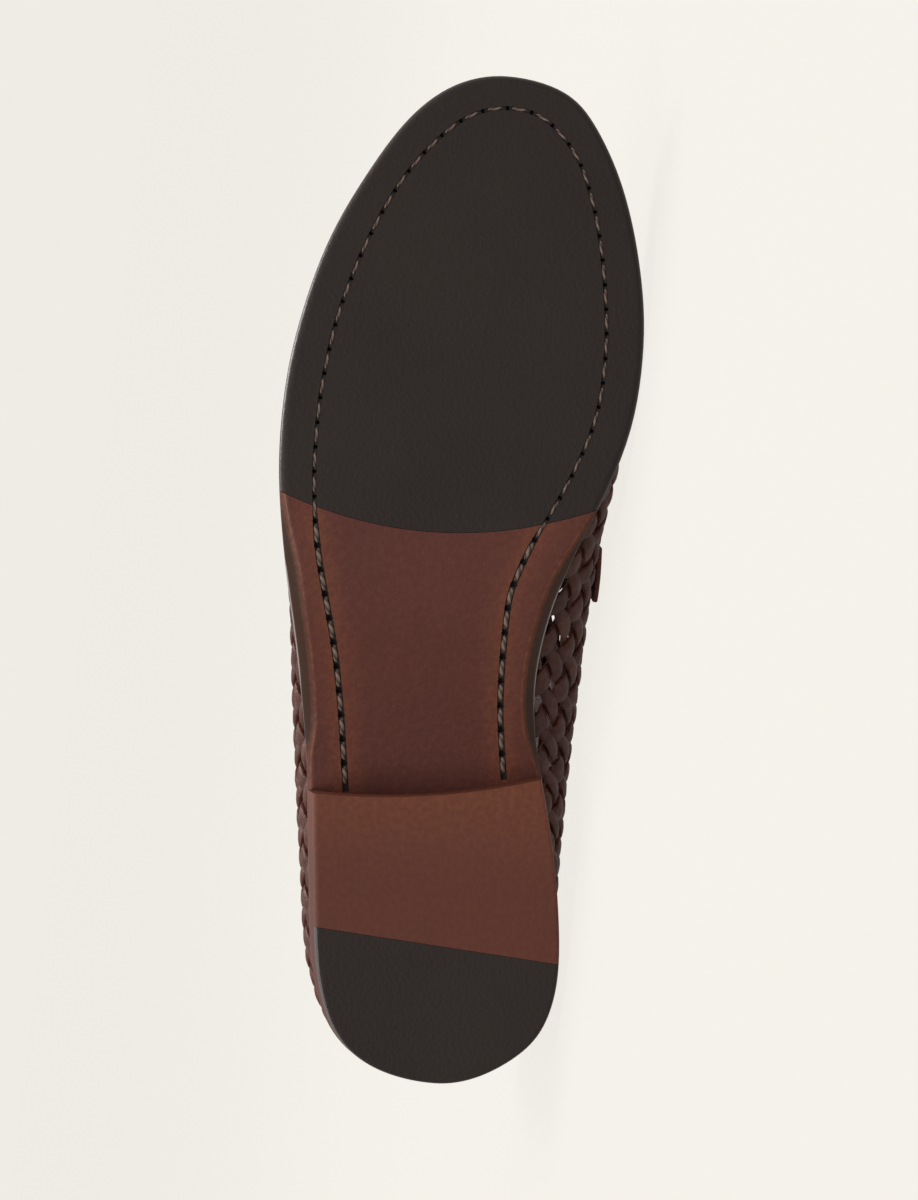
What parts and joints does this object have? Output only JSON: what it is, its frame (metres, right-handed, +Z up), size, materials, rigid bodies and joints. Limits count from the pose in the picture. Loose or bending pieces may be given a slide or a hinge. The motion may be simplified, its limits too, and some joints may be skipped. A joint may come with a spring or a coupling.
{
  "type": "woven loafer",
  "caption": "Woven leather slip-on shoe for the right foot, lying on its inner side, with a low stacked heel, a leather sole and a rubber half sole.",
  "frame": {"origin": "centre of the bounding box at floor height, with the shoe lying on its inner side", "axes": "+X towards the toe, +Y from the sole towards the collar, +Z up, which is the outer side of the foot; the sole faces -Y"},
  "size_m": [0.2682, 0.0902, 0.0933],
  "materials": {
    "sole_leather": "polished brown sole leather",
    "sole_rubber": "matt dark brown rubber",
    "heel_leather": "stacked brown leather with waxed edges",
    "lining_leather": "soft tan lining",
    "woven_leather": "semi matt brown calf, woven in strips",
    "strap_leather": "smooth semi matt brown calf"
  },
  "bodies": {
    "root": {"outsole": "sole_leather", "forefoot_rubber": "sole_rubber", "heel_lift_1": "heel_leather", "heel_lift_2": "heel_leather", "heel_lift_3": "heel_leather", "top_piece_rubber": "sole_rubber", "top_piece_leather": "heel_leather", "insole": "lining_leather", "upper": "woven_leather", "saddle": "strap_leather", "topline_piping": "strap_leather"}
  },
  "joints": []
}
